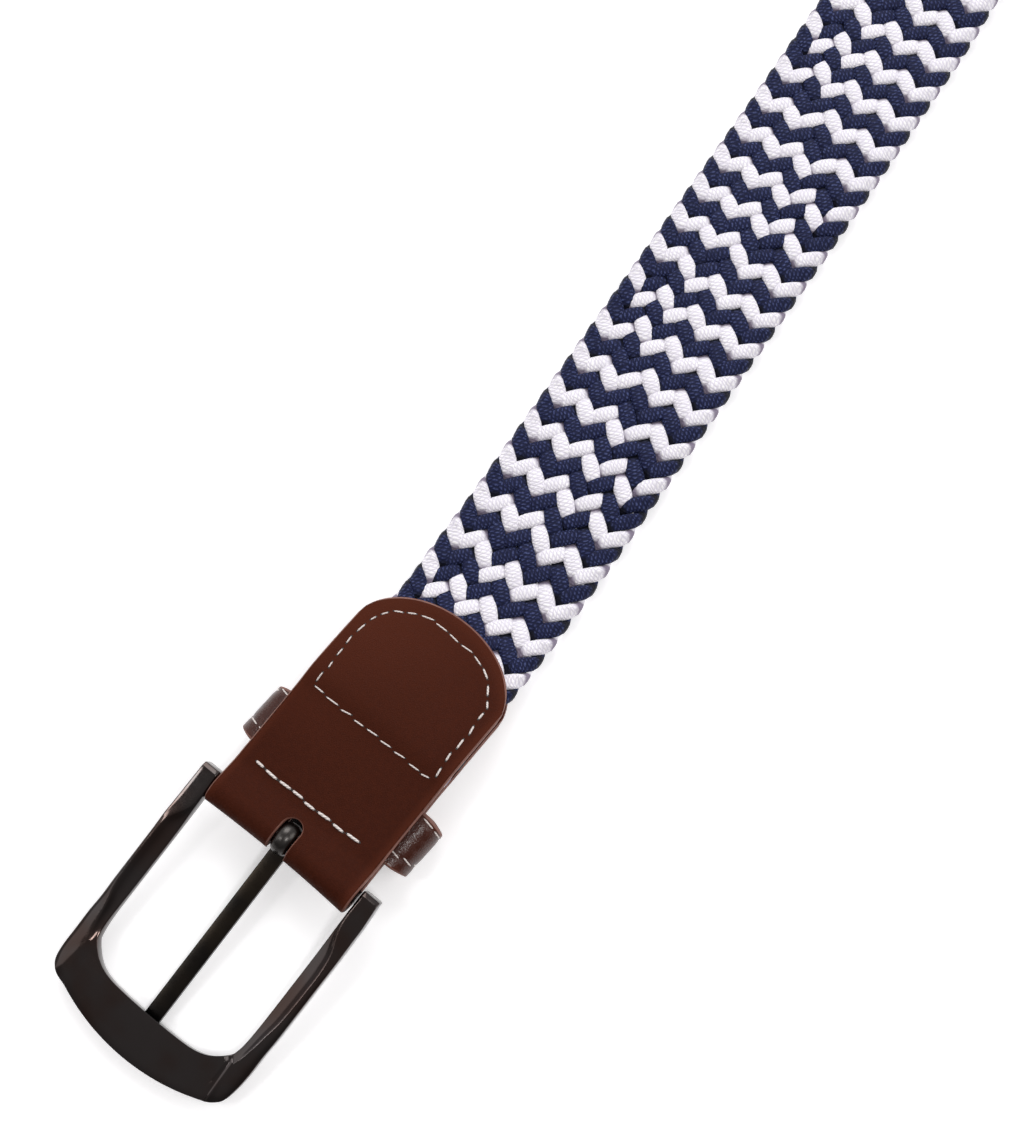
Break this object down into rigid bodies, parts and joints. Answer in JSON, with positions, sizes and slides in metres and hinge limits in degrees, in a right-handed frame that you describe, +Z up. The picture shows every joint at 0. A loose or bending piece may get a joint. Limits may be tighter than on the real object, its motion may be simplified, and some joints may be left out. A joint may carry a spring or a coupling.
{
  "type": "braided belt",
  "caption": "Buckle end of a flat herringbone braided belt: a folded leather tab holds a dark metal frame and prong, with a leather keeper loop.",
  "frame": {"origin": "under the middle of the whole part, on the surface that it lies on", "axes": "+X runs along the belt from the buckle to the free end, +Y across it, +Z up from the worn face to the body's face"},
  "size_m": [0.3592, 0.0604, 0.0139],
  "materials": {
    "leather": "smooth dark reddish brown with a low sheen and burnished edges",
    "gunmetal": "polished dark gunmetal plating",
    "navy_cord": "soft matt braided cord, navy",
    "white_cord": "soft matt braided cord, off-white",
    "thread": "waxed off-white stitching thread"
  },
  "bodies": {
    "root": {"leather_tab": "leather", "keeper_loop": "leather", "braided_strap": "navy_cord", "end_tip": "leather"},
    "buckle": {"buckle_frame": "gunmetal", "crossbar": "gunmetal"},
    "tongue": {"prong": "gunmetal"}
  },
  "joints": [
    {"name": "buckle_swing", "type": "hinge", "parent": "root", "child": "buckle", "pos_m": [-0.1207, -0.00418, 0.00986], "axis": [0, 1, 0], "range_deg": [-18, 170]},
    {"name": "prong_swing", "type": "hinge", "parent": "buckle", "child": "tongue", "pos_m": [-0.1207, -0.00418, 0.00986], "axis": [0, 1, 0], "range_deg": [-90, 0]}
  ]
}
